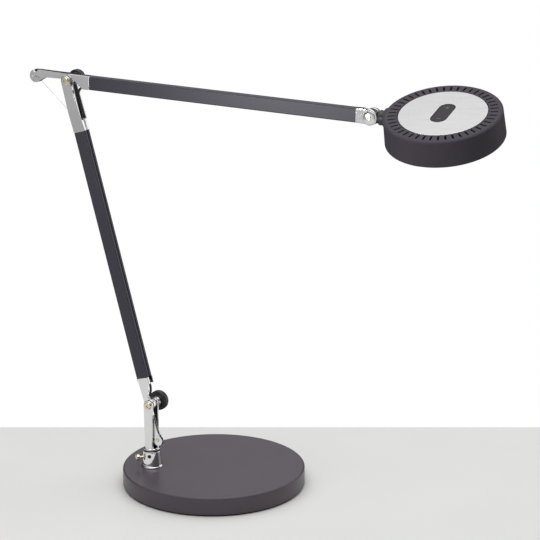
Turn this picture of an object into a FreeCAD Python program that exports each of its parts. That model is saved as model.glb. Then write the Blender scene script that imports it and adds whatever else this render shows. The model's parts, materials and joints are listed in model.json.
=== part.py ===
import FreeCAD, Part
import Sketcher
import math
import os
from FreeCAD import Vector, Placement, Rotation

# Swing-arm LED table lamp: round weighted foot, swivelling post fork, two equal
# spring-balanced arms of slotted extrusion, friction knobs at knee and elbow, and a
# round flat head on a tilting and rolling neck.
# Millimetres.  Origin: centre of the foot's underside, +Z up.  The stored pose has
# the arm swung 28.5 degrees off +X, towards -Y.

doc = FreeCAD.newDocument("TableLamp")
sheet = doc.addObject("Spreadsheet::Sheet", "Dims")

DIMS = [
    # foot
    ("base_radius", 100.0), ("base_height", 20.5), ("base_round", 1.8), ("base_wall", 3.0),
    ("base_skin", 3.0), ("pad_thick", 1.6), ("pad_radius", 98.5), ("weight_radius", 96.8),
    ("weight_top", 13.6), ("weight_hole", 22.0), ("post_offset", 67.9), ("post_side", 2.1), ("inlet_angle", 150.0),
    ("inlet_level", 9.5), ("screw_circle", 80.0),
    # post
    ("shaft_radius", 7.0), ("bush_inner", 7.05), ("bush_outer", 8.38), ("collar_bore", 8.4),
    ("collar_foot", 12.0), ("collar_head", 9.25), ("collar_top", 38.8), ("collar_spigot", 9.1),
    ("shaft_bore", 5.0), ("shoulder_low", 39.9), ("shoulder_top", 42.6), ("shoulder_radius", 9.0),
    ("knee_height", 91.7), ("post_half", 4.7), ("stop_screw_level", 31.5), ("grub_level", 34.0),
    # arms
    ("lower_length", 362.5), ("upper_length", 358.8), ("tube_tall", 14.5), ("tube_deep", 9.5), ("tube_corner", 1.2),
    ("cavity_half", 3.4), ("cavity_low", -5.2), ("cavity_high", 5.8), ("slot_half", 1.0),
    ("slot_deep", 1.4), ("lower_start", 31.0), ("upper_start", 29.0), ("fork_tube", 56.3), ("fork_root", 44.5),
    ("clevis_tube", 16.1),
    # joint hardware
    ("cheek_outer", 6.9), ("cheek_inner", 4.4), ("cheek_end", 5.6), ("bolt_radius", 2.5),
    ("bolt_hole", 2.55), ("bolt_head", 4.3), ("bolt_head_tall", 1.7), ("tongue_half", 3.6),
    ("tail_reach", 41.0), ("tail_rise", 1.0), ("tail_radius", 7.0), ("low_tail_radius", 5.7), ("lower_pin", 39.8), ("upper_pin", 42.4),
    ("pin_radius", 1.5),
    ("knee_knob_radius", 10.9), ("elbow_knob_radius", 9.4), ("knob_near", 11.8), ("knob_far", 20.4), ("spacer_radius", 4.5),
    ("lead_radius", 1.3), ("wire_radius", 0.4),
    # head
    ("head_reach", 77.5), ("head_radius", 59.2), ("head_half", 13.5), ("head_skin", 2.0),
    ("slot_count", 45), ("slot_inner", 45.9), ("slot_outer", 53.8), ("slot_width", 2.0),
    ("trim_radius", 43.8), ("trim_thick", 1.0), ("pad_long", 36.5), ("pad_wide", 15.5),
    ("neck_radius", 7.8), ("neck_start", 9.0), ("neck_end", 15.4), ("spigot_radius", 4.0),
    ("boss_radius", 10.2), ("eye_radius", 8.2),
    # stored pose, degrees
    ("swing_angle", 28.5), ("lean_angle", 15.51), ("droop_angle", 1.04), ("roll_angle", 18.5),
    ("stop_screw_angle", 196.0), ("grub_angle", 256.0),
]
for i, (name, value) in enumerate(DIMS):
    sheet.set("A%d" % (i + 1), name)
    sheet.set("B%d" % (i + 1), str(value))
    sheet.setAlias("B%d" % (i + 1), name)
doc.recompute()


class Q:
    """A size: its number, and the same thing written over the sheet's cells."""

    def __init__(self, val, expr):
        self.val = val
        self.expr = expr

    def _two(self, other, sign):
        o = other if isinstance(other, Q) else Q(float(other), "(%.9g)" % float(other))
        v = {"+": self.val + o.val, "-": self.val - o.val, "*": self.val * o.val,
             "/": self.val / o.val if o.val else 0.0}[sign]
        return Q(v, "(%s %s %s)" % (self.expr, sign, o.expr))

    def __add__(self, o): return self._two(o, "+")
    def __sub__(self, o): return self._two(o, "-")
    def __mul__(self, o): return self._two(o, "*")
    def __truediv__(self, o): return self._two(o, "/")
    def __radd__(self, o): return self._two(o, "+")
    def __rmul__(self, o): return self._two(o, "*")
    def __rsub__(self, o): return (self * -1.0) + o
    def __neg__(self): return self * -1.0


class Sheet:
    def __getattr__(self, name):
        return Q(float(sheet.get(name)), "Dims." + name)


D = Sheet()


def num(q):
    return q.val if isinstance(q, Q) else float(q)


def bind(obj, prop, q):
    if isinstance(q, Q):
        setattr(obj, prop, q.val)
        obj.setExpression(prop, q.expr)
    else:
        setattr(obj, prop, float(q))


# ---------------------------------------------------------------- sketch helpers
def plane_of(body, role):
    return [o for o in body.Origin.OriginFeatures if o.Role == role][0]


def pin_point(sk, geo, pos, x, y):
    for axis, kind, q in ((-2, "DistanceX", x), (-1, "DistanceY", y)):
        v = num(q)
        if abs(v) < 1e-9:
            sk.addConstraint(Sketcher.Constraint("PointOnObject", geo, pos, axis))
        else:
            c = sk.addConstraint(Sketcher.Constraint(kind, -1, 1, geo, pos, v))
            if isinstance(q, Q):
                sk.setExpression("Constraints[%d]" % c, q.expr)


def three_point(a, m, b):
    ax, ay = a; bx, by = m; cx, cy = b
    d = 2 * (ax * (by - cy) + bx * (cy - ay) + cx * (ay - by))
    ux = ((ax * ax + ay * ay) * (by - cy) + (bx * bx + by * by) * (cy - ay) + (cx * cx + cy * cy) * (ay - by)) / d
    uy = ((ax * ax + ay * ay) * (cx - bx) + (bx * bx + by * by) * (ax - cx) + (cx * cx + cy * cy) * (bx - ax)) / d
    ccw = ((bx - ax) * (cy - ay) - (by - ay) * (cx - ax)) > 0
    return ux, uy, math.hypot(ax - ux, ay - uy), ccw


def sketch(body, role, loops, off=None):
    """A sketch on one of the body's own planes.  A loop is ("circle", x, y, r), or a
    list of corners (x, y), where ("arc", (mx, my), (x, y)) reaches its corner by an arc."""
    sk = body.newObject("Sketcher::SketchObject", body.Name + "_sketch")
    sk.AttachmentSupport = [(plane_of(body, role), "")]
    sk.MapMode = "FlatFace"
    if off is not None:
        sk.AttachmentOffset = Placement(Vector(0, 0, num(off)), Rotation())
        if isinstance(off, Q):
            sk.setExpression("AttachmentOffset.Base.z", off.expr)
    for loop in loops:
        if loop[0] == "circle":
            x, y, r = loop[1:]
            g = sk.addGeometry(Part.Circle(Vector(num(x), num(y), 0), Vector(0, 0, 1), num(r)))
            c = sk.addConstraint(Sketcher.Constraint("Radius", g, num(r)))
            if isinstance(r, Q):
                sk.setExpression("Constraints[%d]" % c, r.expr)
            pin_point(sk, g, 3, x, y)
            continue
        corners = [loop[0]] + [p[2] if p[0] == "arc" else p for p in loop[1:]]
        steps = [None] + [p[1] if p[0] == "arc" else None for p in loop[1:]]
        closed = num(corners[-1][0]) == num(corners[0][0]) and num(corners[-1][1]) == num(corners[0][1])
        if not closed:
            corners.append(corners[0])
            steps.append(None)
        ends = []
        for i in range(1, len(corners)):
            a = (num(corners[i - 1][0]), num(corners[i - 1][1]))
            b = (num(corners[i][0]), num(corners[i][1]))
            if steps[i] is None:
                g = sk.addGeometry(Part.LineSegment(Vector(a[0], a[1], 0), Vector(b[0], b[1], 0)))
                ends.append((g, 1, 2))
            else:
                m = (num(steps[i][0]), num(steps[i][1]))
                ux, uy, r, ccw = three_point(a, m, b)
                s, e = (a, b) if ccw else (b, a)
                a1 = math.atan2(s[1] - uy, s[0] - ux)
                a2 = math.atan2(e[1] - uy, e[0] - ux)
                if a2 <= a1:
                    a2 += 2 * math.pi
                g = sk.addGeometry(Part.ArcOfCircle(Part.Circle(Vector(ux, uy, 0), Vector(0, 0, 1), r), a1, a2))
                ends.append((g, 1, 2) if ccw else (g, 2, 1))
        for i, (g, s, e) in enumerate(ends):
            g2, s2, _ = ends[(i + 1) % len(ends)]
            sk.addConstraint(Sketcher.Constraint("Coincident", g, e, g2, s2))
            pin_point(sk, g, s, corners[i][0], corners[i][1])
    return sk


def new_body(name):
    b = doc.addObject("PartDesign::Body", name)
    b.Label = name
    return b


def pad(body, sk, length, how="up"):
    f = body.newObject("PartDesign::Pad", body.Name + "_pad")
    f.Profile = sk
    f.Type = "Length"
    if how == "both":
        f.SideType = "Symmetric"
    bind(f, "Length", length)
    f.Reversed = how == "down"
    return f


def pocket(body, sk, length, how="down"):
    """Cuts along -normal ("down"), +normal ("up") or both ways, and must remove something."""
    doc.recompute()
    before = body.Shape.Volume
    f = body.newObject("PartDesign::Pocket", body.Name + "_pocket")
    f.Profile = sk
    f.Type = "Length"
    if how == "both":
        f.SideType = "Symmetric"
    bind(f, "Length", length)
    f.Reversed = how == "up"
    doc.recompute()
    if not body.Shape.Volume < before - 1e-6:
        raise RuntimeError("pocket cut nothing: " + f.Name)
    return f


def revolve(body, sk, axis="V_Axis"):
    f = body.newObject("PartDesign::Revolution", body.Name + "_turn")
    f.Profile = sk
    f.ReferenceAxis = (sk, [axis])
    f.Angle = 360.0
    return f


def rounded(x0, x1, y0, y1, r):
    """Corner list of a rectangle with rounded corners."""
    k = 1 - math.sqrt(0.5)
    return [(x0 + r, y0), (x1 - r, y0), ("arc", (x1 - r * k, y0 + r * k), (x1, y0 + r)),
            (x1, y1 - r), ("arc", (x1 - r * k, y1 - r * k), (x1 - r, y1)),
            (x0 + r, y1), ("arc", (x0 + r * k, y1 - r * k), (x0, y1 - r)),
            (x0, y0 + r), ("arc", (x0 + r * k, y0 + r * k), (x0 + r, y0))]


def box_loop(x0, x1, y0, y1):
    return [(x0, y0), (x1, y0), (x1, y1), (x0, y1)]


# ---------------------------------------------------------------- frames of the stored pose
swing, lean, droop, roll = (num(getattr(D, n)) for n in ("swing_angle", "lean_angle", "droop_angle", "roll_angle"))
low_arm, up_arm = num(D.lower_length), num(D.upper_length)
POST = Placement(Vector(-num(D.post_offset), -num(D.post_side), 0), Rotation(Vector(0, 0, 1), -swing))
KNEE = POST * Placement(Vector(0, 0, num(D.knee_height)), Rotation())
LOWER = POST * Placement(Vector(0, 0, num(D.knee_height)), Rotation(Vector(0, 1, 0), -(90 + lean)))
UPPER = LOWER * Placement(Vector(low_arm, 0, 0), Rotation(Vector(0, 1, 0), 90 + lean + droop))
ELBOW = LOWER * Placement(Vector(low_arm, 0, 0), Rotation())
LINK = UPPER * Placement(Vector(up_arm, 0, 0), Rotation())
NECK = LINK * Placement(Vector(0, 0, 0), Rotation(Vector(1, 0, 0), roll))
HEAD = NECK * Placement(Vector(num(D.head_reach), 0, 0), Rotation())
FOOT = Placement(Vector(0, 0, 0), Rotation(Vector(0, 0, 1), num(D.inlet_angle)))
FOOT_POST = FOOT.inverse() * Placement(Vector(-num(D.post_offset), -num(D.post_side), 0), Rotation())
fpx, fpy = FOOT_POST.Base.x, FOOT_POST.Base.y

NODES = []


def node(obj, place=None):
    if place is not None:
        obj.Placement = place
    NODES.append(obj)
    return obj


def plain(name, shape, place=None):
    """A piece set directly from Part's own functions."""
    f = doc.addObject("Part::Feature", name)
    f.Label = name
    f.Shape = shape
    return node(f, place if place is None else place * shape.Placement)


def ring(name, inner, outer, low, high, place):
    """A plain washer or bush: one cylinder out of another, along local Z."""
    a = doc.addObject("Part::Cylinder", name + "_outer")
    bind(a, "Radius", outer); bind(a, "Height", high - low)
    b = doc.addObject("Part::Cylinder", name + "_bore")
    bind(b, "Radius", inner); bind(b, "Height", (high - low) + 2.0)
    a.Placement = Placement(Vector(0, 0, num(low)), Rotation())
    b.Placement = Placement(Vector(0, 0, num(low) - 1.0), Rotation())
    c = doc.addObject("Part::Cut", name)
    c.Label = name
    c.Base, c.Tool = a, b
    return node(c, place)


def turned(name, profile, place, axis="V_Axis", role="XZ_Plane"):
    b = new_body(name)
    revolve(b, sketch(b, role, [profile]), axis)
    return b


def tube_route(points, radius, rounds):
    """A round lead or wire: straight runs joined by tangent arcs."""
    pts = [Vector(*p) for p in points]
    edges = []
    last = pts[0]
    for i in range(1, len(pts) - 1):
        p = pts[i]
        a = (pts[i - 1] - p); b = (pts[i + 1] - p)
        la, lb = a.Length, b.Length
        a.normalize(); b.normalize()
        half = a.getAngle(b) / 2.0
        r = rounds[i - 1] if isinstance(rounds, (list, tuple)) else rounds
        t = min(r / math.tan(half), 0.45 * min(la, lb))
        r = t * math.tan(half)
        s, e = p + a * t, p + b * t
        mid_dir = (a + b); mid_dir.normalize()
        centre = p + mid_dir * (r / math.sin(half))
        m = centre - mid_dir * r
        edges.append(Part.LineSegment(last, s).toShape())
        edges.append(Part.Arc(s, m, e).toShape())
        last = e
    edges.append(Part.LineSegment(last, pts[-1]).toShape())
    path = Part.Wire(edges)
    first = (pts[1] - pts[0]).normalize()
    section = Part.Wire([Part.Circle(pts[0], first, radius).toShape()])
    solid = path.makePipeShell([section], True, False)
    want = math.pi * radius * radius * path.Length
    if abs(solid.Volume - want) > 0.03 * want:
        raise RuntimeError("tube volume %.3f, wanted %.3f" % (solid.Volume, want))
    return solid


def coil_stack(radius, wire, low, high):
    """A close-wound tension spring as touching turns: a tube ribbed by its wire."""
    turns = int(round((high - low) / (2 * wire)))
    step = (high - low) / turns
    edges = []
    inner = radius - 2 * wire
    last = Vector(inner, 0, low)
    edges.append(Part.LineSegment(last, Vector(radius - wire * 0.6, 0, low)).toShape())
    last = Vector(radius - wire * 0.6, 0, low)
    for i in range(turns):
        end = Vector(radius - wire * 0.6, 0, low + (i + 1) * step)
        edges.append(Part.Arc(last, Vector(radius, 0, low + (i + 0.5) * step), end).toShape())
        last = end
    edges.append(Part.LineSegment(last, Vector(inner, 0, high)).toShape())
    edges.append(Part.LineSegment(Vector(inner, 0, high), Vector(inner, 0, low)).toShape())
    return Part.Face(Part.Wire(edges)).revolve(Vector(0, 0, 0), Vector(0, 0, 1), 360)


# ================================================================ the foot
screw_spots = []
for k in range(4):
    a = math.radians(75 + 90 * k)
    screw_spots.append((num(D.screw_circle) * math.cos(a), num(D.screw_circle) * math.sin(a)))

# turned steel shell, open below, with a hole for the post and one for the inlet
cover = new_body("base_cover")
inside = D.base_height - D.base_skin
c45 = 1 - math.sqrt(0.5)
revolve(cover, sketch(cover, "XZ_Plane", [[
    (0.0, inside), (D.base_radius - D.base_wall, inside), (D.base_radius - D.base_wall, D.pad_thick),
    (D.base_radius - 0.8, D.pad_thick), ("arc", (D.base_radius - 0.8 * c45, D.pad_thick + 0.8 * c45), (D.base_radius, D.pad_thick + 0.8)),
    (D.base_radius, D.base_height - D.base_round),
    ("arc", (D.base_radius - D.base_round * c45, D.base_height - D.base_round * c45), (D.base_radius - D.base_round, D.base_height)),
    (0.0, D.base_height)]]))
pad(cover, sketch(cover, "XY_Plane", [("circle", x, y, 4.2) for x, y in screw_spots], D.weight_top), inside - D.weight_top)
pocket(cover, sketch(cover, "XY_Plane", [("circle", x, y, 2.0) for x, y in screw_spots], D.weight_top), 5.4, "up")
pocket(cover, sketch(cover, "XY_Plane", [("circle", fpx, fpy, D.collar_spigot + 0.05)], D.base_height + 1.0), 6.0)
pocket(cover, sketch(cover, "YZ_Plane", [("circle", 0.0, D.inlet_level, 4.6)], D.base_radius + 2.0), 12.0)
node(cover, FOOT)

# cast iron weight under the shell
weight = new_body("base_weight")
pad(weight, sketch(weight, "XY_Plane", [("circle", 0.0, 0.0, D.weight_radius)], D.pad_thick), D.weight_top - D.pad_thick)
pocket(weight, sketch(weight, "XY_Plane", [("circle", fpx, fpy, D.weight_hole)], D.weight_top + 1.0), 20.0)
pocket(weight, sketch(weight, "XY_Plane", [("circle", x, y, 2.2) for x, y in screw_spots], D.weight_top + 1.0), 20.0)
pocket(weight, sketch(weight, "XY_Plane", [("circle", x, y, 4.2) for x, y in screw_spots], D.pad_thick - 0.5), 3.1, "up")
pocket(weight, sketch(weight, "XY_Plane", [[
    (72.0, -6.2), (99.0, -6.2), (99.0, 6.2), (81.0, 6.2), (70.0, 26.0), (60.0, 22.0)]], D.weight_top + 1.0), 10.5)
node(weight, FOOT)

# soft pad glued to the underside
sole = doc.addObject("Part::Cylinder", "base_pad")
sole.Label = "base_pad"
bind(sole, "Radius", D.pad_radius)
bind(sole, "Height", D.pad_thick)
node(sole)

# four screws from below, hidden by the pad
screws = []
for x, y in screw_spots:
    z0 = num(D.pad_thick)
    s = Part.makeCylinder(4.0, 2.4, Vector(x, y, z0 + 0.05)).fuse(Part.makeCylinder(1.95, 14.5, Vector(x, y, z0 + 0.05)))
    s = s.cut(Part.makeBox(5.0, 0.9, 1.2, Vector(x - 2.5, y - 0.45, z0 - 0.1))).removeSplitter()
    screws.append(s)
plain("base_screws", Part.makeCompound(screws), FOOT)

# low-voltage barrel socket in the rim, behind the post
inlet = new_body("dc_inlet")
pad(inlet, sketch(inlet, "YZ_Plane", [rounded(-5.4, 5.4, D.inlet_level - 5.0, D.inlet_level + 4.6, 0.8)], 82.0), 14.6)
pad(inlet, sketch(inlet, "YZ_Plane", [("circle", 0.0, D.inlet_level, 4.5)], 96.0), 3.6)
pocket(inlet, sketch(inlet, "YZ_Plane", [("circle", 0.0, D.inlet_level, 2.75)], 100.5), 10.4)
pad(inlet, sketch(inlet, "YZ_Plane", [("circle", 0.0, D.inlet_level, 1.0)], 89.5), 9.0)
node(inlet, FOOT)

# chrome collar that carries the post
AT_POST = Placement(Vector(-num(D.post_offset), -num(D.post_side), 0), Rotation())
collar = turned("foot_collar", [
    (D.collar_bore, 9.0), (D.collar_spigot, 9.0), (D.collar_spigot, D.base_height), (D.collar_foot, D.base_height),
    (D.collar_foot, D.base_height + 0.8), ("arc", (D.collar_foot - 0.2, D.base_height + 1.35), (D.collar_foot - 0.55, D.base_height + 1.7)),
    ("arc", (D.collar_foot - 1.0, D.base_height + 2.6), (D.collar_foot - 1.2, D.base_height + 3.9)),
    (D.collar_head, D.collar_top - 0.8), (D.collar_head - 0.5, D.collar_top), (D.collar_bore, D.collar_top)], None)
pocket(collar, sketch(collar, "YZ_Plane", [("circle", 0.0, D.stop_screw_level, 1.55)], 14.0), 8.0)
# a second tapped hole for the grub screw, turned from the first about the post
turn = math.radians(num(D.grub_angle) - num(D.stop_screw_angle))
gsk = sketch(collar, "YZ_Plane", [("circle", 0.0, D.grub_level, 1.9)])
gsk.AttachmentOffset = Placement(Vector(14.0 * math.sin(turn), 0, 14.0 * math.cos(turn)), Rotation(Vector(0, 1, 0), math.degrees(turn)))
pocket(collar, gsk, 8.0)
node(collar, AT_POST * Placement(Vector(0, 0, 0), Rotation(Vector(0, 0, 1), num(D.stop_screw_angle))))

grub = Part.makeCylinder(1.85, 0.7, Vector(8.42, 0, num(D.grub_level)), Vector(1, 0, 0))
hexa = [Vector(8.62, 0.9 * math.cos(math.radians(60 * k)), num(D.grub_level) + 0.9 * math.sin(math.radians(60 * k))) for k in range(7)]
grub = grub.cut(Part.Face(Part.makePolygon(hexa)).extrude(Vector(2, 0, 0)))
plain("collar_grub_screw", grub, AT_POST * Placement(Vector(0, 0, 0), Rotation(Vector(0, 0, 1), num(D.grub_angle))))

# hex nut that clamps the collar to the shell
nut = new_body("foot_nut")
hexr = 13.0 / math.cos(math.radians(30))
pad(nut, sketch(nut, "XY_Plane", [[(hexr * math.cos(math.radians(60 * k)), hexr * math.sin(math.radians(60 * k))) for k in range(6)],
                                  ("circle", 0.0, 0.0, D.collar_spigot + 0.03)], inside - 4.6), 4.6)
node(nut, AT_POST)

# nylon bush with a flange under the post's shoulder
bush = turned("swivel_bush", [
    (D.bush_inner, 9.0), (D.bush_outer, 9.0), (D.bush_outer, D.collar_top), (D.collar_head - 0.4, D.collar_top),
    (D.collar_head - 0.4, D.collar_top + 0.8), (D.bush_inner, D.collar_top + 0.8)], None)
node(bush, AT_POST)

# stop screw with a small round head
stop = turned("foot_screw", [
    (8.6, 0.0), (8.6, 1.3), (8.8, 1.5), (14.0, 1.5), (14.0, 3.2), (14.5, 3.8), (17.4, 3.8), (18.0, 3.2), (18.0, 0.0)], None, "H_Axis", "XY_Plane")
pocket(stop, sketch(stop, "YZ_Plane", [box_loop(-0.5, 0.5, -4.0, 4.0)], 18.5), 1.4)
node(stop, AT_POST * Placement(Vector(0, 0, num(D.stop_screw_level)), Rotation(Vector(0, 0, 1), num(D.stop_screw_angle))))

# lead in the foot: from the socket, along the channel in the weight, under the shaft and up
lr = num(D.lead_radius)
il = num(D.inlet_level)
side = Vector(78.0 - fpx, -fpy, 0).normalize()
plain("base_lead", tube_route([
    (81.9, 0, il), (77.6, 0, il), (fpx + side.x * 27, fpy + side.y * 27, 8.2), (fpx + side.x * 16, fpy + side.y * 16, 5.2),
    (fpx + side.x * 9, fpy + side.y * 9, 3.6), (fpx, fpy, 3.6), (fpx, fpy, 7.0)], lr, [6, 12, 10, 10, 3.4]), FOOT)

# ================================================================ the post
# shaft, shoulder and fork in one chrome casting
post = turned("post_fork", [
    (D.shaft_bore, 5.6), (D.shaft_radius - 0.6, 5.6), (D.shaft_radius, 6.2), (D.shaft_radius, 7.2), (D.shaft_radius - 0.7, 7.2),
    (D.shaft_radius - 0.7, 8.4), (D.shaft_radius, 8.4), (D.shaft_radius, D.shoulder_low), (D.shoulder_radius - 0.6, D.shoulder_low),
    (D.shoulder_radius, D.shoulder_low + 0.6), (D.shoulder_radius, D.shoulder_top - 1.0), (D.shoulder_radius - 1.0, D.shoulder_top),
    (D.shaft_bore, D.shoulder_top)], None)
ce, kh = D.cheek_end, D.knee_height
pad(post, sketch(post, "XZ_Plane", [[
    (-D.post_half, D.shoulder_top - 1.2), (D.post_half, D.shoulder_top - 1.2), (ce, kh),
    ("arc", (0.0, kh + ce), (-ce, kh))]]), D.cheek_outer * 2.0, "both")
pocket(post, sketch(post, "YZ_Plane", [box_loop(-D.cheek_inner, D.cheek_inner, D.shoulder_top, kh + 10.0)]), 40.0, "both")
pocket(post, sketch(post, "XZ_Plane", [("circle", 0.0, kh, D.bolt_hole)]), 40.0, "both")
pocket(post, sketch(post, "XY_Plane", [("circle", 0.0, 0.0, D.shaft_bore)], D.shoulder_top + 0.5), 4.0)
node(post, POST)

ring("swivel_clip", D.shaft_radius - 0.68, D.shaft_radius + 2.6, Q(7.25, "7.25"), Q(8.35, "8.35"), POST)


def bolt(name, place):
    """Pivot bolt along +Y: round socket head in front, shank through to the knob."""
    f = -D.cheek_outer
    b = turned(name, [
        (0.0, f - D.bolt_head_tall), (D.bolt_head - 0.5, f - D.bolt_head_tall), (D.bolt_head, f - D.bolt_head_tall + 0.5),
        (D.bolt_head, f), (D.bolt_radius, f), (D.bolt_radius, D.knob_far - 2.0), (0.0, D.knob_far - 2.0)], None, "V_Axis", "XY_Plane")
    pocket(b, sketch(b, "XZ_Plane", [[(1.55 * math.cos(math.radians(60 * k)), 1.55 * math.sin(math.radians(60 * k))) for k in range(6)]],
                     D.cheek_outer + D.bolt_head_tall + 0.5), 1.6)
    return node(b, place)


def knob(name, r, place):
    """Round friction knob with soft edges and a dished back."""
    a, b = D.knob_near, D.knob_far
    k = turned(name, [
        (D.bolt_hole, a), (6.0, a), (6.6, a + 0.8), (r - 1.6, a + 0.8), ("arc", (r - 0.45, a + 1.3), (r, a + 2.6)),
        (r, b - 2.8), ("arc", (r - 0.8, b - 0.8), (r - 2.8, b)), (r - 5.0, b), ("arc", ((r - 5.0) * 0.55, b - 0.35), (0.0, b - 0.5)),
        (0.0, b - 1.7), (D.bolt_hole, b - 1.7)], None, "V_Axis", "XY_Plane")
    return node(k, place)


def boss_ring(name, place):
    """Chrome distance ring between the rear cheek and the knob."""
    y0, y1 = D.cheek_outer, D.knob_near - 0.3
    return node(turned(name, [
        (D.bolt_hole, y0), (5.2, y0), (5.2, y0 + 1.4), (4.6, y0 + 1.7), (4.6, y1 - 1.5), (5.4, y1 - 1.2), (5.4, y1), (D.bolt_hole, y1)],
        None, "V_Axis", "XY_Plane"), place)


def washers(name, spans, place):
    shapes = []
    for y0, y1 in spans:
        o = Part.makeCylinder(num(D.spacer_radius), y1 - y0, Vector(0, y0, 0), Vector(0, 1, 0))
        shapes.append(o.cut(Part.makeCylinder(num(D.bolt_hole), y1 - y0 + 2, Vector(0, y0 - 1, 0), Vector(0, 1, 0))))
    return plain(name, Part.makeCompound(shapes), place)


ci, th = num(D.cheek_inner), num(D.tongue_half)
thin_back = -0.2
bolt("knee_bolt", KNEE)
washers("knee_washers", [(-ci, -th - 0.08), (thin_back + 0.08, ci)], KNEE)
boss_ring("knee_boss", KNEE)
knob("knee_knob", D.knee_knob_radius, KNEE)

# lead and balance spring inside the shaft
plain("post_lead", tube_route([(0, 0, 7.0), (0, 0, 11.0), (-1.8, 2.1, 20.0), (-1.8, 2.1, 47.0)], lr, [14, 14]), POST)
spring1 = coil_stack(2.0, 0.5, 22.0, 40.0)
spring1.translate(Vector(2.2, -1.2, 0))
plain("knee_spring", spring1, POST)

# ================================================================ levers, tubes and forks of the arms
la = num(D.lean_angle)
u1 = Vector(-math.sin(math.radians(la)), 0, math.cos(math.radians(la)))
n1 = Vector(-math.cos(math.radians(la)), 0, -math.sin(math.radians(la)))


def lever(name, y0, y1, lead0, lead1, t0, pin, rim, block, notch, groove, place):
    """Chrome end casting: block in the tube end, tongue with the pivot, balance tail."""
    tr = D.tail_reach
    b = new_body(name)
    pad(b, sketch(b, "XZ_Plane", [rim], -Q(y0, "(%.6g)" % y0)), y1 - y0, "down")
    pad(b, sketch(b, "XZ_Plane", [block]), D.tube_deep, "both")
    pad(b, sketch(b, "YZ_Plane", [rounded(-D.cavity_half + 0.1, D.cavity_half - 0.1, -1.5, D.cavity_high - 0.1, 0.6)], t0 - 0.5), 15.5)
    pocket(b, sketch(b, "YZ_Plane", [box_loop(lead0, lead1, -9.0, -1.6)], 8.0), 26.0, "up")
    pocket(b, sketch(b, "XZ_Plane", [("circle", 0.0, 0.0, D.bolt_hole), ("circle", -pin, D.tail_rise, D.pin_radius + 0.03)]), 40.0, "both")
    mid = (y0 + y1) / 2.0
    pocket(b, sketch(b, "XZ_Plane", [notch], 10.0), 10.0 + mid + 0.4, "down")
    pocket(b, sketch(b, "XY_Plane", [box_loop(-tr - 12.0, -tr + 6.5, mid - 0.8, mid + 0.8)]), 40.0, "both")
    if groove:
        pocket(b, sketch(b, "XY_Plane", [box_loop(-tr + 6.4, -12.0, mid - 0.6, mid + 0.6)], -10.0), 10.3, "up")
    return node(b, place)


th2, tr2, rise, rad = D.tube_tall / 2.0, D.tail_reach, D.tail_rise, D.tail_radius
s50, c50 = math.sin(math.radians(50)), math.cos(math.radians(50))
hub45 = 6.0 * math.sqrt(0.5)
# upper casting: straight top edge, notch in it, arched underside; the lower one alike, with a slimmer tail
UP_RIM = [
    (D.upper_start, th2), (-tr2, rise + rad), ("arc", (-tr2 - rad, rise), (-tr2 + rad * c50, rise - rad * s50)),
    ("arc", (-31.0, -1.3), (-25.5, 0.7)), (-5.9, 1.09), ("arc", (-hub45, -hub45), (5.41, -2.6)),
    (9.5, 0.0), (20.0, -th2), (D.upper_start, -th2)]
UP_BLOCK = [(2.2, th2), (D.upper_start, th2), (D.upper_start, -th2), (20.0, -th2)]
UP_NOTCH = [(-D.upper_pin - 2.4, 8.9), (-D.upper_pin + 1.5, 5.0), (-D.upper_pin + 6.4, 8.9)]
rl = D.low_tail_radius
LOW_RIM = [
    (D.lower_start, th2), (0.0, 6.0), (-tr2, rise + rl), ("arc", (-tr2 - rl, rise), (-tr2 + rl * c50, rise - rl * s50)),
    ("arc", (-33.0, -2.2), (-27.0, -1.2)), (-5.9, -1.09), ("arc", (0.0, -6.0), (5.41, -2.6)),
    (9.5, -0.5), (24.6, -4.8), (25.6, -th2), (D.lower_start, -th2)]
LOW_BLOCK = [(27.8, th2), (D.lower_start, th2), (D.lower_start, -th2), (22.9, -th2)]
LOW_NOTCH = [(-D.lower_pin - 2.4, 8.2), (-D.lower_pin + 1.2, 4.4), (-D.lower_pin + 5.6, 8.2)]


def arm_tube(name, x0, length, place):
    """Rounded box section with one chamber, and a shallow slot down the inner face."""
    h, d = D.tube_tall / 2.0, D.tube_deep / 2.0
    b = new_body(name)
    pad(b, sketch(b, "YZ_Plane", [
        rounded(-d, d, -h, h, D.tube_corner),
        rounded(-D.cavity_half, D.cavity_half, D.cavity_low, D.cavity_high, 0.5)], x0), length)
    pocket(b, sketch(b, "YZ_Plane", [box_loop(-D.slot_half, D.slot_half, -h - 1.0, -h + D.slot_deep)], x0 - 1.0), length + 2.0, "up")
    return node(b, place)


def tail_pin(name, reach, y0, y1, place):
    p = Part.makeCylinder(num(D.pin_radius), y1 - y0, Vector(-num(reach), y0, num(D.tail_rise)), Vector(0, 1, 0))
    p = p.makeChamfer(0.25, [e for e in p.Edges if isinstance(e.Curve, Part.Circle)])
    return plain(name, p, place)


lever("lower_lever", -th, thin_back, -1.9, 4.1, D.lower_start, D.lower_pin, LOW_RIM, LOW_BLOCK, LOW_NOTCH, True, LOWER)
lever("upper_lever", -th, th, -1.9, 1.9, D.upper_start, D.upper_pin, UP_RIM, UP_BLOCK, UP_NOTCH, False, UPPER)
tail_pin("knee_pin", D.lower_pin, -th - 0.35, thin_back + 0.3, LOWER)
tail_pin("elbow_pin", D.upper_pin, -th - 0.35, th + 0.35, UPPER)
arm_tube("lower_tube", D.lower_start, D.lower_length - D.fork_tube - D.lower_start, LOWER)
arm_tube("upper_tube", D.upper_start, D.upper_length - D.clevis_tube - D.upper_start, UPPER)

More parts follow.
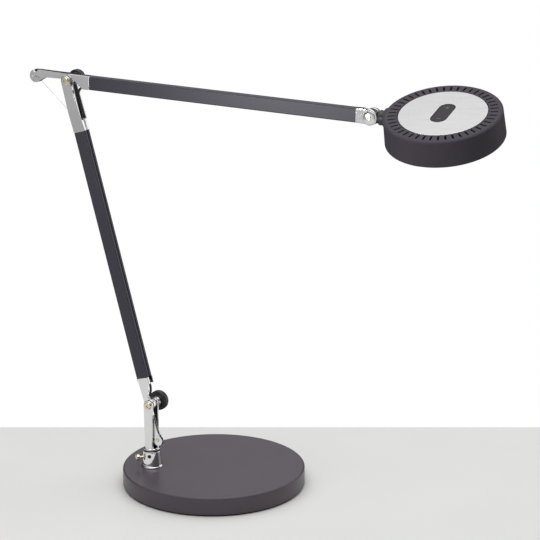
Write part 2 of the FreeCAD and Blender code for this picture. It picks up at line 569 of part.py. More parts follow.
# fork at the top of the lower arm: root block that flares into two cheeks
fork = new_body("lower_fork")
L, h, d = D.lower_length, D.tube_tall / 2.0, D.tube_deep / 2.0
pad(fork, sketch(fork, "XZ_Plane", [[
    (L - D.fork_tube, -h), (L, -ce), ("arc", (L + ce, 0.0), (L, ce)), (L - D.fork_tube, h)]]), D.cheek_outer * 2.0, "both")
for sgn in (1.0, -1.0):
    pocket(fork, sketch(fork, "XY_Plane", [[
        (L - D.fork_tube - 1.0, d * sgn), (L - D.fork_tube, d * sgn), (L - D.fork_tube + 24.0, D.cheek_outer * sgn),
        (L - D.fork_tube + 24.0, 12.0 * sgn), (L - D.fork_tube - 1.0, 12.0 * sgn)]]), 40.0, "both")
pocket(fork, sketch(fork, "XY_Plane", [[
    (L - D.fork_root + 1.0, -D.cheek_inner), (L + 10.0, -D.cheek_inner), (L + 10.0, D.cheek_inner), (L - D.fork_root + 1.0, D.cheek_inner),
    (L - D.fork_root, D.cheek_inner - 1.0), (L - D.fork_root, -D.cheek_inner + 1.0)]]), 40.0, "both")
pocket(fork, sketch(fork, "XZ_Plane", [("circle", L, 0.0, D.bolt_hole)]), 40.0, "both")
pad(fork, sketch(fork, "YZ_Plane", [rounded(-D.cavity_half + 0.1, D.cavity_half - 0.1, -1.5, D.cavity_high - 0.1, 0.6)], L - D.fork_tube - 15.0), 15.5)
pocket(fork, sketch(fork, "YZ_Plane", [box_loop(-1.2, 1.2, -1.4, 4.2)], L - D.fork_tube - 16.0), 30.0, "up")
pocket(fork, sketch(fork, "YZ_Plane", [("circle", 0.0, -3.8, D.lead_radius + 0.1)], L - D.fork_tube - 1.0), 14.0, "up")
pocket(fork, sketch(fork, "YZ_Plane", [box_loop(-D.slot_half, D.slot_half, -h - 1.0, -h + D.slot_deep)], L - D.fork_tube - 1.0), 13.0, "up")
node(fork, LOWER)

bolt("elbow_bolt", ELBOW)
washers("elbow_washers", [(-ci, -th - 0.08), (th + 0.08, ci)], ELBOW)
boss_ring("elbow_boss", ELBOW)
knob("elbow_knob", D.elbow_knob_radius, ELBOW)

# balance spring of the upper arm, inside the lower tube, and its anchor
anchor = Part.makeBox(9.0, 6.4, 6.6, Vector(47.0, -3.2, -1.0))
anchor = anchor.cut(Part.makeCylinder(0.8, 20, Vector(53.5, -10, 2.4), Vector(0, 1, 0)))
plain("spring_anchor", anchor, LOWER)
spring2 = coil_stack(2.7, 0.6, 0.0, 132.0)
spring2.rotate(Vector(0, 0, 0), Vector(0, 1, 0), 90)
spring2.translate(Vector(58.0, 0, 2.4))
plain("arm_spring", spring2, LOWER)

# wire from that spring over the fork's root to the tail of the upper lever
tx = LOWER.inverse().multVec(UPPER.multVec(Vector(-num(D.upper_pin), 0, num(D.tail_rise))))
guide = Vector(low_arm - 45.5, 0, 0.2)
run = (tx - guide).normalize()
tie = tx - run * (num(D.pin_radius) + 0.15)
wr = num(D.wire_radius)
plain("elbow_wire", tube_route([(190.2, 0, 2.4), (low_arm - 62.5, 0, 2.2), (guide.x, 0, guide.z), (tie.x, 0, tie.z)], wr, [20, 6]), LOWER)

# short wire from the tail of the lower lever into the post
kp = POST.inverse().multVec(LOWER.multVec(Vector(-num(D.lower_pin), (-th + thin_back) / 2.0, num(D.tail_rise))))
krun = (kp - Vector(2.4, -1.3, 44.5)).normalize()
kend = kp - krun * (num(D.pin_radius) + 0.15)
plain("knee_wire", tube_route([(2.2, -1.2, 40.0), (2.4, -1.3, 44.5), (kend.x, kend.y, kend.z)], wr, [4]), POST)

# leads: past the knee, along the lower tube, past the elbow, along the upper tube
def in_post(v):
    return POST.inverse().multVec(v)


kz = num(D.knee_height)
low0, up0 = num(D.lower_start), num(D.upper_start)
k_end = in_post(LOWER.multVec(Vector(low0, 0, -3.8)))
k_in = in_post(LOWER.multVec(Vector(low0 - 3.6, 0, -3.8)))
k_mid = in_post(LOWER.multVec(Vector(20.5, 1.2, -4.6)))
plain("knee_lead", tube_route([
    (-1.8, 2.1, 47.0), (-1.8, 2.1, 57.0), (-5.2, 2.1, kz - 16.0), (-6.9, 2.1, kz - 4.0), (-6.9, 2.1, kz + 2.0), (-4.0, 2.1, kz + 8.5),
    (-1.6, 2.1, kz + 13.0), (k_mid.x, k_mid.y, k_mid.z), (k_in.x, k_in.y, k_in.z), (k_end.x, k_end.y, k_end.z)], lr, [40, 40, 30, 12, 12, 14, 14, 12]), POST)
straight = Part.makeCylinder(lr, low_arm - num(D.fork_root) - low0, Vector(low0, 0, -3.8), Vector(1, 0, 0))
plain("lower_lead", straight, LOWER)
e0 = in_post(LOWER.multVec(Vector(low_arm, 0, 0)))
e_end = in_post(UPPER.multVec(Vector(up0, 0, -3.4)))
r_end = in_post(LOWER.multVec(Vector(low_arm - num(D.fork_root), 0, -3.8)))
r_out = in_post(LOWER.multVec(Vector(low_arm - num(D.fork_root) + 2.5, 0, -3.8)))
r_mid = in_post(LOWER.multVec(Vector(low_arm - 36.5, 0.6, -5.3)))
u_in = in_post(UPPER.multVec(Vector(up0 - 4.0, 0, -3.4)))
u_mid = in_post(UPPER.multVec(Vector(up0 - 11.0, 0, -5.0)))
plain("elbow_lead", tube_route([
    (r_end.x, 0, r_end.z), (r_out.x, 0, r_out.z), (r_mid.x, 0.6, r_mid.z), (e0.x + 10.9, 0.6, e0.z - 20.5), (e0.x + 12.0, 0.3, e0.z - 10.2), (u_mid.x, 0, u_mid.z),
    (u_in.x, 0, u_in.z), (e_end.x, 0, e_end.z)], lr, [10, 16, 22, 9, 18, 14]), POST)
upper_run = Part.makeCylinder(lr, up_arm - num(D.clevis_tube) - up0, Vector(up0, 0, -3.4), Vector(1, 0, 0))
plain("upper_lead", upper_run, UPPER)

# ================================================================ head joint
clevis = new_body("upper_clevis")
er = D.eye_radius
L = D.upper_length
pad(clevis, sketch(clevis, "YZ_Plane", [rounded(-d, d, -h, h, 0.5)], L - D.clevis_tube), 5.0)
pad(clevis, sketch(clevis, "XZ_Plane", [[
    (L - D.clevis_tube + 4.0, -h), (L, -h), ("arc", (L + h, 0.0), (L, h)), (L - D.clevis_tube + 4.0, h)]]), D.tube_deep, "both")
pad(clevis, sketch(clevis, "XZ_Plane", [("circle", L, 0.0, er)]), 12.6, "both")
pocket(clevis, sketch(clevis, "XY_Plane", [box_loop(L - 8.2, L + 12.0, -2.75, 2.75)]), 40.0, "both")
pocket(clevis, sketch(clevis, "XZ_Plane", [("circle", L, 0.0, 2.05)]), 40.0, "both")
pad(clevis, sketch(clevis, "YZ_Plane", [rounded(-D.cavity_half + 0.1, D.cavity_half - 0.1, -1.5, D.cavity_high - 0.1, 0.6)], L - D.clevis_tube - 14.0), 14.5)
pocket(clevis, sketch(clevis, "YZ_Plane", [("circle", 0.0, -3.4, D.lead_radius + 0.1)], L - D.clevis_tube - 1.0), 8.0, "up")
node(clevis, UPPER)

node(turned("head_washer", [
    (2.05, -7.7), ("arc", (4.3, -7.4), (6.0, -6.75)), (6.4, -6.6), (6.4, -6.3), (2.05, -6.3)], None, "V_Axis", "XY_Plane"), LINK)
hs = turned("head_screw", [
    (0.0, -8.4), (1.9, -8.4), (2.3, -8.0), (2.3, -7.7), (2.0, -7.7), (2.0, 9.6), (0.0, 9.6)], None, "V_Axis", "XY_Plane")
pocket(hs, sketch(hs, "XZ_Plane", [("circle", 0.0, 0.0, 1.2)], 8.9), 1.6)
node(hs, LINK)
hn = new_body("head_nut")
nr = 3.6 / math.cos(math.radians(30))
pad(hn, sketch(hn, "XZ_Plane", [[(nr * math.cos(math.radians(60 * k)), nr * math.sin(math.radians(60 * k))) for k in range(6)],
                                ("circle", 0.0, 0.0, 2.03)], -9.4), 3.1)
node(hn, LINK)

# black knuckle and neck with a turned spigot that the head rolls on
neck = turned("head_neck", [
    (D.neck_start - 0.4, 0.0), (D.neck_start - 0.4, 6.4), (D.neck_start + 0.1, 7.2), (D.neck_start + 0.9, D.neck_radius),
    (D.neck_start + 2.0, D.neck_radius - 0.3), (D.neck_end - 1.6, D.neck_radius - 0.3), (D.neck_end - 0.4, D.neck_radius),
    (D.neck_end, D.neck_radius - 0.4), (D.neck_end, D.spigot_radius), (22.45, D.spigot_radius), (22.45, D.spigot_radius - 0.7),
    (23.65, D.spigot_radius - 0.7), (23.65, D.spigot_radius), (25.2, D.spigot_radius), (25.2, 0.0)], None, "H_Axis", "XY_Plane")
pad(neck, sketch(neck, "XZ_Plane", [[
    (0.0, -6.9), ("arc", (-6.9, 0.0), (0.0, 6.9)), (D.neck_start, 5.4), (D.neck_start, -5.4)]]), 5.0, "both")
pocket(neck, sketch(neck, "XZ_Plane", [("circle", 0.0, 0.0, 2.06)]), 40.0, "both")
pocket(neck, sketch(neck, "YZ_Plane", [("circle", 0.0, 0.0, 1.75)], 34.0), 25.0)
node(neck, LINK)
clip = ring("neck_clip", D.spigot_radius - 0.68, D.spigot_radius + 2.4, Q(22.5, "22.5"), Q(23.6, "23.6"),
            LINK * Placement(Vector(0, 0, 0), Rotation(Vector(0, 1, 0), 90)))

# ================================================================ the head
R, hh = D.head_radius, D.head_half
shell = new_body("head_shell")
revolve(shell, sketch(shell, "XZ_Plane", [[
    (36.0, hh - 3.4), (44.2, hh - 3.4), (52.2, hh - 3.4), (R - 2.9, hh - 5.0), (R - 1.9, -hh), (R - 0.5, -hh),
    ("arc", (R - 0.08, -hh + 0.2), (R + 0.1, -hh + 0.8)), (R - 0.9, hh - 1.7), (R - 1.3, hh - 0.9),
    (R - 2.7, hh - 0.05), (R - 3.1, hh), (44.9, hh), (44.6, hh - 0.4), (44.6, hh - 1.3), (36.0, hh - 1.3)]]))
# round boss for the neck, seen from the hinge side
boss = sketch(shell, "YZ_Plane", [("circle", 0.0, 0.0, D.boss_radius)], -(D.head_reach - D.neck_end) + 0.3)
pad(shell, boss, 6.5)
doc.recompute()
pocket(shell, sketch(shell, "YZ_Plane", [("circle", 0.0, 0.0, D.spigot_radius + 0.05)], -(D.head_reach - D.neck_end) - 1.0), 14.0, "up")
one = sketch(shell, "XY_Plane", [[
    (D.slot_inner, -D.slot_width / 2.0), (D.slot_outer - 0.9, -D.slot_width / 2.0), ("arc", (D.slot_outer, 0.0), (D.slot_outer - 0.9, D.slot_width / 2.0)),
    (D.slot_inner, D.slot_width / 2.0)]], hh + 1.0)
cut = pocket(shell, one, 5.4)
poly = shell.newObject("PartDesign::PolarPattern", "shell_slots")
poly.Originals = [cut]
poly.Axis = (one, ["N_Axis"])
poly.Angle = 360.0
poly.Occurrences = int(num(D.slot_count))
shell.Tip = poly
doc.recompute()
node(shell, HEAD)

# brushed aluminium disc with a window for the switch pad
half, w2 = (D.pad_long - D.pad_wide) / 2.0, D.pad_wide / 2.0


def oblong(grow):
    w = w2 + grow
    return [(-w, -half), ("arc", (0.0, -half - w), (w, -half)), (w, half), ("arc", (0.0, half + w), (-w, half))]


disc = new_body("trim_disc")
revolve(disc, sketch(disc, "XZ_Plane", [[
    (0.0, hh - 1.3), (D.trim_radius, hh - 1.3), (D.trim_radius, hh - 0.25), (D.trim_radius - 0.35, hh + 0.1), (0.0, hh + 0.1)]]))
pocket(disc, sketch(disc, "XY_Plane", [oblong(0.45)], hh + 1.0), 5.0)
node(disc, HEAD)

# two-way switch pad, long across the neck, and the switch under it
key = new_body("switch_pad")
pad(key, sketch(key, "XY_Plane", [oblong(0.0)], hh - 3.4), 3.2)
node(key, HEAD)
sw = new_body("switch_block")
pad(sw, sketch(sw, "XY_Plane", [rounded(-6.0, 6.0, -11.0, 11.0, 0.6)], hh - 9.5), 4.9)
pad(sw, sketch(sw, "XY_Plane", [("circle", 0.0, -8.2, 1.4), ("circle", 0.0, 8.2, 1.4)], hh - 4.7), 0.75)
pad(sw, sketch(sw, "XY_Plane", [box_loop(-5.0, 5.0, -1.0, 1.0)], hh - 4.7), 1.1)
node(sw, HEAD)

# finned heat sink, round LED board and its chips, reflector, diffuser and retaining ring
sink = new_body("heat_sink")
pad(sink, sketch(sink, "XY_Plane", [("circle", 0.0, 0.0, 48.4)], 1.6), 2.4)
fin = sketch(sink, "XY_Plane", [box_loop(27.0, 46.8, -0.7, 0.7)], 3.9)
fpad = pad(sink, fin, 6.15)
fp = sink.newObject("PartDesign::PolarPattern", "sink_fins")
fp.Originals = [fpad]
fp.Axis = (fin, ["N_Axis"])
fp.Angle = 360.0
fp.Occurrences = 36
sink.Tip = fp
doc.recompute()
pocket(sink, sketch(sink, "YZ_Plane", [box_loop(-3.2, 3.2, 4.0, 12.0)], -52.0), 40.0, "up")
pocket(sink, sketch(sink, "YZ_Plane", [box_loop(-2.2, 2.2, 0.0, 12.0)], -52.0), 14.0, "up")
node(sink, HEAD)

board = new_body("led_board")
pad(board, sketch(board, "XY_Plane", [("circle", 0.0, 0.0, 47.2)]), 1.6)
pocket(board, sketch(board, "YZ_Plane", [box_loop(-2.2, 2.2, -1.0, 3.0)], -52.0), 14.0, "up")
node(board, HEAD)
chips = []
for n_in, rad in ((10, 14.0), (18, 26.0), (26, 35.5)):
    for i in range(n_in):
        a = 2 * math.pi * i / n_in
        c = Part.makeBox(2.8, 2.8, 0.8, Vector(-1.4, -1.4, -0.8))
        c.rotate(Vector(0, 0, 0), Vector(0, 0, 1), math.degrees(a))
        c.translate(Vector(rad * math.cos(a), rad * math.sin(a), 0))
        chips.append(c)
plain("led_chips", Part.makeCompound(chips), HEAD)
bowl = turned("reflector", [
    (47.4, 1.5), (48.6, 1.5), (54.3, -9.0), (53.1, -9.0), (47.4, -0.2)], None)
pocket(bowl, sketch(bowl, "YZ_Plane", [box_loop(-9.0, 9.0, -7.4, 4.0)], -58.0), 16.0, "up")
node(bowl, HEAD)
lens = doc.addObject("Part::Cylinder", "diffuser")
lens.Label = "diffuser"
bind(lens, "Radius", D.head_radius - 4.3)
lens.Height = 2.0
node(lens, HEAD * Placement(Vector(0, 0, -11.05), Rotation()))
node(turned("bezel", [
    (51.6, -hh + 0.5), (52.2, -hh + 0.2), (R - 1.97, -hh + 0.2), (R - 2.07, -hh + 2.4), (51.6, -hh + 2.4)], None), HEAD)
plain("head_lead", tube_route([(-51.0, 0, 0), (-46.0, 0, 0.2), (-41.5, 0, 5.6),(-32.0, 0, 6.0), (-18.0, 0, 6.3), (-10.0, 0, 6.2), (-6.2, 0, 6.2)], 1.2, [4, 5, 60, 60, 30]), HEAD)

# ================================================================ check and write
doc.recompute()
bad = [o.Name for o in doc.Objects if "Invalid" in o.State or "Error" in o.State]
if bad:
    raise RuntimeError("failed objects: " + ", ".join(bad))
for o in NODES:
    if o.Shape.isNull() or not o.Shape.isValid() or not o.Shape.Solids:
        raise RuntimeError("bad shape: " + o.Label)
os.makedirs("parts", exist_ok=True)
for o in NODES:
    o.Shape.exportStep("parts/%s.step" % o.Label)
    bb = o.Shape.BoundBox
    print("%-18s solids %3d  vol %9.2f  z %7.2f..%7.2f" % (o.Label, len(o.Shape.Solids), o.Shape.Volume / 1000.0, bb.ZMin, bb.ZMax))
for n, pl in (("POST", POST), ("KNEE", KNEE), ("LOWER", LOWER), ("ELBOW", ELBOW), ("UPPER", UPPER), ("LINK", LINK), ("NECK", NECK), ("HEAD", HEAD)):
    x, y, z = (pl.Rotation.multVec(v) for v in (Vector(1, 0, 0), Vector(0, 1, 0), Vector(0, 0, 1)))
    print(n, "at", [round(c, 4) for c in pl.Base], "x", [round(c, 6) for c in x], "y", [round(c, 6) for c in y], "z", [round(c, 6) for c in z])
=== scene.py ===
import bpy
import bmesh
import json
import math
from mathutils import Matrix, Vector
from mathutils.bvhtree import BVHTree


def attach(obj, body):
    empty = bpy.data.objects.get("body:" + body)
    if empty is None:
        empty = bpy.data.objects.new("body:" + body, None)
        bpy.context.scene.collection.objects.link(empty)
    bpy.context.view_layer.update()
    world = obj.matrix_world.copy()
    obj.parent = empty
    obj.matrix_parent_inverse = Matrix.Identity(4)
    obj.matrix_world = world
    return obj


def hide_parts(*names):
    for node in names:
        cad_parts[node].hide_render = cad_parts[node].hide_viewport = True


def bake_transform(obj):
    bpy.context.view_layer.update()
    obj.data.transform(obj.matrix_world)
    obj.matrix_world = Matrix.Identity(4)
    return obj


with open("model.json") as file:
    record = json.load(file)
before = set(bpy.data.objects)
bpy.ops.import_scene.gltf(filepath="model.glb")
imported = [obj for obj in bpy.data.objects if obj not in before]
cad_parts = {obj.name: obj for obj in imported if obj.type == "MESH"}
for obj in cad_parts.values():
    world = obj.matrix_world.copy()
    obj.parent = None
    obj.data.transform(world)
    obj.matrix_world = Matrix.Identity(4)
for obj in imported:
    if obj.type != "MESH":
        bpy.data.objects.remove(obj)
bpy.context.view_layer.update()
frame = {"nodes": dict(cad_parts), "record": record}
NODES = frame["nodes"]
scene = bpy.context.scene
scene.view_settings.view_transform = "Standard"
scene.view_settings.look = "None"

SLOT_OF = {p["node"]: p["material_slot"] for p in frame["record"]["subparts"]}
BODY_OF = {n: b for b, row in frame["record"]["behaviour"]["bodies"].items() for n in row}

# ---------------------------------------------------------------- the lamp's own directions at rest
UP = Vector((0.0, 0.0, 1.0))
SWING = Vector((0.878817, -0.477159, 0.0))     # the way the arms reach
ACROSS = Vector((0.477159, 0.878817, 0.0))     # along the pivots, towards the knobs
FOOT = Vector((-0.0679, -0.0021, 0.0))
KNEE = Vector((-0.0679, -0.0021, 0.0917))
ELBOW = Vector((-0.153088, 0.0441533, 0.4409991))
HEAD = Vector((0.2302767, -0.1639967, 0.4330801))
HEAD_X = Vector((0.878672, -0.47708, -0.01815))
HEAD_Y = Vector((0.457562, 0.830655, 0.317252))
HEAD_Z = Vector((-0.136278, -0.287066, 0.948167))
LOWER_X = Vector((-0.235001, 0.127595, 0.963584))
LOWER_Z = Vector((-0.846814, 0.459782, -0.267407))
UPPER_X = Vector((0.878672, -0.47708, -0.01815))
UPPER_Z = Vector((0.015951, -0.008661, 0.999835))


def spot(origin, x_axis, y_axis, z_axis, x, y, z):
    """A place given in millimetres along three axes from an origin."""
    return origin + (x_axis * x + y_axis * y + z_axis * z) * 0.001


def in_post(x, y, z):
    return spot(FOOT, SWING, ACROSS, UP, x, y, z)


def in_lower(x, y, z):
    return spot(KNEE, LOWER_X, ACROSS, LOWER_Z, x, y, z)


def in_upper(x, y, z):
    return spot(ELBOW, UPPER_X, ACROSS, UPPER_Z, x, y, z)


def in_head(x, y, z):
    return spot(HEAD, HEAD_X, HEAD_Y, HEAD_Z, x, y, z)


# ---------------------------------------------------------------- materials
def material(name, color, metallic=0.0, roughness=0.5, specular=None, coat=None):
    m = bpy.data.materials.new(name)
    m.use_nodes = True
    t = m.node_tree
    b = t.nodes["Principled BSDF"]
    b.inputs["Base Color"].default_value = (color[0], color[1], color[2], 1.0)
    b.inputs["Metallic"].default_value = metallic
    b.inputs["Roughness"].default_value = roughness
    if specular is not None:
        b.inputs["Specular IOR Level"].default_value = specular
    if coat is not None:
        b.inputs["Coat Weight"].default_value = coat[0]
        b.inputs["Coat Roughness"].default_value = coat[1]
    m.diffuse_color = (color[0], color[1], color[2], 1.0)
    return m, t, b


def coords(t, scale=(1.0, 1.0, 1.0)):
    tc = t.nodes.new("ShaderNodeTexCoord")
    mp = t.nodes.new("ShaderNodeMapping")
    mp.inputs["Scale"].default_value = scale
    t.links.new(tc.outputs["Object"], mp.inputs["Vector"])
    return mp.outputs["Vector"]


def along_axes(t, rows):
    """Texture space stretched along three directions, each with its own scale."""
    tc = t.nodes.new("ShaderNodeTexCoord")
    join = t.nodes.new("ShaderNodeCombineXYZ")
    for i, (d, s) in enumerate(rows):
        dot = t.nodes.new("ShaderNodeVectorMath")
        dot.operation = "DOT_PRODUCT"
        dot.inputs[1].default_value = (d[0] * s, d[1] * s, d[2] * s)
        t.links.new(tc.outputs["Object"], dot.inputs[0])
        t.links.new(dot.outputs["Value"], join.inputs[i])
    return join.outputs["Vector"]


def noise(t, vec, scale, detail=3.0, rough=0.55):
    n = t.nodes.new("ShaderNodeTexNoise")
    n.inputs["Scale"].default_value = scale
    n.inputs["Detail"].default_value = detail
    n.inputs["Roughness"].default_value = rough
    t.links.new(vec, n.inputs["Vector"])
    return n.outputs["Fac"]


def ramp(t, fac, a, b, low=0.3, high=0.7):
    """Spreads a noise value between two numbers or two colours."""
    if isinstance(a, (tuple, list)):
        r = t.nodes.new("ShaderNodeValToRGB")
        r.color_ramp.elements[0].position = low
        r.color_ramp.elements[1].position = high
        r.color_ramp.elements[0].color = (a[0], a[1], a[2], 1.0)
        r.color_ramp.elements[1].color = (b[0], b[1], b[2], 1.0)
        t.links.new(fac, r.inputs["Fac"])
        return r.outputs["Color"]
    r = t.nodes.new("ShaderNodeMapRange")
    r.inputs["From Min"].default_value = low
    r.inputs["From Max"].default_value = high
    r.inputs["To Min"].default_value = a
    r.inputs["To Max"].default_value = b
    t.links.new(fac, r.inputs["Value"])
    return r.outputs["Result"]


def bump(t, b, height, strength, distance):
    n = t.nodes.new("ShaderNodeBump")
    n.inputs["Strength"].default_value = strength
    n.inputs["Distance"].default_value = distance
    t.links.new(height, n.inputs["Height"])
    t.links.new(n.outputs["Normal"], b.inputs["Normal"])


def shade(c, k):
    return (c[0] * k, c[1] * k, c[2] * k)


def coated(name, color, rough, grain, depth, spread=0.06, specular=None):
    """Powder coat or moulded plastic: fine grain in the bump, faint cloudiness in colour and gloss."""
    m, t, b = material(name, color, 0.0, rough, specular)
    v = coords(t)
    cloud = noise(t, v, 38.0, 3.0)
    fine = noise(t, v, grain, 2.0)
    t.links.new(ramp(t, cloud, shade(color, 1.0 - spread), shade(color, 1.0 + spread)), b.inputs["Base Color"])
    t.links.new(ramp(t, fine, rough - 0.05, rough + 0.06), b.inputs["Roughness"])
    bump(t, b, fine, 0.35, depth)
    return m


def metal(name, color, rough, cloud_scale, spread, grain=0.0, depth=0.0):
    m, t, b = material(name, color, 1.0, rough)
    v = coords(t)
    cloud = noise(t, v, cloud_scale, 4.0)
    t.links.new(ramp(t, cloud, max(0.0, rough - spread), rough + spread), b.inputs["Roughness"])
    t.links.new(ramp(t, cloud, shade(color, 0.97), shade(color, 1.02)), b.inputs["Base Color"])
    if grain:
        bump(t, b, noise(t, v, grain, 2.0), 0.25, depth)
    return m


def brushed(name, color, rough, along, across, up):
    """Straight brushing along one direction: long thin noise in gloss, colour and bump."""
    m, t, b = material(name, color, 1.0, rough)
    fine = noise(t, along_axes(t, ((along, 26.0), (across, 2400.0), (up, 400.0))), 1.0, 3.0, 0.6)
    broad = noise(t, along_axes(t, ((along, 9.0), (across, 420.0), (up, 60.0))), 1.0, 2.0, 0.5)
    both = t.nodes.new("ShaderNodeMath")
    both.operation = "MULTIPLY_ADD"
    both.inputs[1].default_value = 0.22
    t.links.new(broad, both.inputs[0])
    half = t.nodes.new("ShaderNodeMath")
    half.operation = "MULTIPLY"
    half.inputs[1].default_value = 0.78
    t.links.new(fine, half.inputs[0])
    t.links.new(half.outputs["Value"], both.inputs[2])
    line = both.outputs["Value"]
    t.links.new(ramp(t, line, shade(color, 0.93), shade(color, 1.04), 0.34, 0.66), b.inputs["Base Color"])
    t.links.new(ramp(t, line, rough - 0.08, rough + 0.1), b.inputs["Roughness"])
    bump(t, b, fine, 0.12, 0.00004)
    return m


GRAIN = Vector((0.968, -0.241, 0.066)).normalized()
MAT = {
    "base_paint": coated("base_paint", (0.076, 0.062, 0.078), 0.36, 2600.0, 0.00004, 0.04, 0.4),
    "iron": coated("iron", (0.05, 0.05, 0.05), 0.75, 900.0, 0.0003, 0.2),
    "pad_rubber": coated("pad_rubber", (0.022, 0.022, 0.022), 0.85, 1800.0, 0.0002, 0.15),
    "steel": metal("steel", (0.62, 0.62, 0.63), 0.28, 500.0, 0.08),
    "black_plastic": coated("black_plastic", (0.020, 0.019, 0.020), 0.40, 3200.0, 0.00004, 0.08),
    "chrome": metal("chrome", (0.83, 0.83, 0.84), 0.05, 220.0, 0.025),
    "nylon": coated("nylon", (0.72, 0.70, 0.64), 0.5, 1500.0, 0.00004, 0.05),
    "lead_rubber": coated("lead_rubber", (0.012, 0.012, 0.012), 0.42, 2400.0, 0.00003, 0.1),
    "brass": metal("brass", (0.80, 0.73, 0.58), 0.2, 900.0, 0.06, 2600.0, 0.00003),
    "arm_coat": coated("arm_coat", (0.044, 0.041, 0.058), 0.38, 3000.0, 0.00003, 0.04, 0.36),
    "head_plastic": coated("head_plastic", (0.060, 0.052, 0.065), 0.52, 2800.0, 0.00005, 0.04, 0.10),
    "disc_aluminium": brushed("disc_aluminium", (0.625, 0.625, 0.627), 0.34, GRAIN, HEAD_Z.cross(GRAIN), HEAD_Z),
    "sink_aluminium": metal("sink_aluminium", (0.62, 0.62, 0.63), 0.42, 300.0, 0.08, 1500.0, 0.00008),
    "board": coated("board", (0.80, 0.81, 0.80), 0.45, 1200.0, 0.00002, 0.03),
    "led": coated("led", (0.86, 0.70, 0.22), 0.3, 900.0, 0.00002, 0.06),
    "white_plastic": coated("white_plastic", (0.84, 0.84, 0.83), 0.4, 1500.0, 0.00003, 0.03),
    "opal": coated("opal", (0.86, 0.86, 0.84), 0.28, 700.0, 0.00002, 0.02),
    "pad_plastic": coated("pad_plastic", (0.027, 0.024, 0.028), 0.50, 3000.0, 0.00006, 0.06, 0.2),
}
for name, obj in NODES.items():
    obj.data.materials.clear()
    obj.data.materials.append(MAT[SLOT_OF[name]])


# ---------------------------------------------------------------- pieces
def add(name, bm, slot, body=None, mat=None):
    me = bpy.data.meshes.new(name)
    bm.to_mesh(me)
    bm.free()
    o = bpy.data.objects.new(name, me)
    scene.collection.objects.link(o)
    me.materials.append(mat or MAT[slot])
    if body:
        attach(o, body)
    return o


# Near-black painted shade for the facing sides of the fork and lever slots, where shade falls between the chrome cheeks
BLACK_AND_SHADE = coated("black_and_painted_shade", (0.016, 0.016, 0.018), 0.45, 1800.0, 0.00004, 0.12)
# The grub screw gets the same near-black: partly its black steel, partly the painted shade of its hole
NODES["collar_grub_screw"].data.materials[0] = BLACK_AND_SHADE


def eased(name, width, segments=2, limit=32.0, dark=None, split=False):
    """The node's own shape with its sharp edges slightly rounded, as a cast or moulded piece has them."""
    r = width * 0.001
    bm = bmesh.new()
    bm.from_mesh(NODES[name].data)
    bmesh.ops.remove_doubles(bm, verts=bm.verts, dist=2e-6)
    bmesh.ops.dissolve_limit(bm, angle_limit=math.radians(0.4), verts=bm.verts, edges=bm.edges)
    if split:
        bmesh.ops.triangulate(bm, faces=[f for f in bm.faces if len(f.verts) > 4], quad_method="BEAUTY", ngon_method="BEAUTY")
    skin = BVHTree.FromBMesh(bm)
    # faces that the mask picks get material 1, the near-black painted shade
    if dark:
        for f in bm.faces:
            f.material_index = 1 if dark(f.calc_center_median(), f.normal) else 0
    sharp = [e for e in bm.edges if e.is_manifold and e.calc_face_angle() > math.radians(limit)]
    bmesh.ops.bevel(bm, geom=sharp, offset=r, offset_type="OFFSET", segments=segments, profile=0.5, affect="EDGES",
                    clamp_overlap=False, loop_slide=True, miter_outer="ARC", miter_inner="SHARP", spread=r, material=-1)
    # a corner whose rounding ran past the piece goes back to its surface
    for v in bm.verts:
        at, _, _, far = skin.find_nearest(v.co)
        if far > 0.75 * r:
            v.co = at
    bmesh.ops.dissolve_degenerate(bm, dist=1e-6, edges=bm.edges)
    for f in bm.faces:
        f.smooth = split or len(f.verts) <= 8
    o = add(name + ".eased", bm, SLOT_OF[name], BODY_OF[name])
    # second material: the near-black painted shade for the masked faces
    if dark:
        o.data.materials.append(BLACK_AND_SHADE)
    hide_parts(name)
    w = o.modifiers.new("normals", "WEIGHTED_NORMAL")
    w.mode = "FACE_AREA"
    w.weight = 80
    w.keep_sharp = True
    return o


def inside_post(c, n):
    """The facing sides of the post's two cheeks, which get painted shade: near-black where shade falls inside the fork.
    """
    y = (c - FOOT).dot(ACROSS)
    return c.z > 0.0435 and abs(y) < 0.0047 and abs(n.dot(ACROSS)) > 0.9 and n.dot(ACROSS) * y < 0.0


def in_slot(origin, x_axis, middle):
    """The two facing sides of the narrow slot in a lever's tail, which get painted shade: near-black where shade falls
    inside the slot.
    """
    def test(c, n):
        y = (c - origin).dot(ACROSS) - middle
        return (c - origin).dot(x_axis) < -0.012 and abs(y) < 0.001 and abs(n.dot(ACROSS)) > 0.9
    return test


EASE = {
    "post_fork": 0.5, "lower_lever": 0.45, "upper_lever": 0.4, "lower_fork": 0.5, "upper_clevis": 0.4,
    "foot_collar": 0.25, "knee_bolt": 0.2, "elbow_bolt": 0.2, "knee_boss": 0.25, "elbow_boss": 0.25,
    "knee_pin": 0.15, "elbow_pin": 0.15, "head_washer": 0.15, "head_neck": 0.3, "trim_disc": 0.1,
    "switch_pad": 0.4, "lower_tube": 0.2, "upper_tube": 0.2, "base_pad": 0.4,
}
# faces inside the fork and the lever slots that get painted shade instead of their own finish
PAINTED_SHADE_FACES = {
    "post_fork": inside_post,
    "lower_lever": in_slot(KNEE, LOWER_X, -0.0019),
    "upper_lever": in_slot(ELBOW, UPPER_X, 0.0),
}
for name, width in EASE.items():
    eased(name, width, dark=PAINTED_SHADE_FACES.get(name), split=name == "upper_lever")


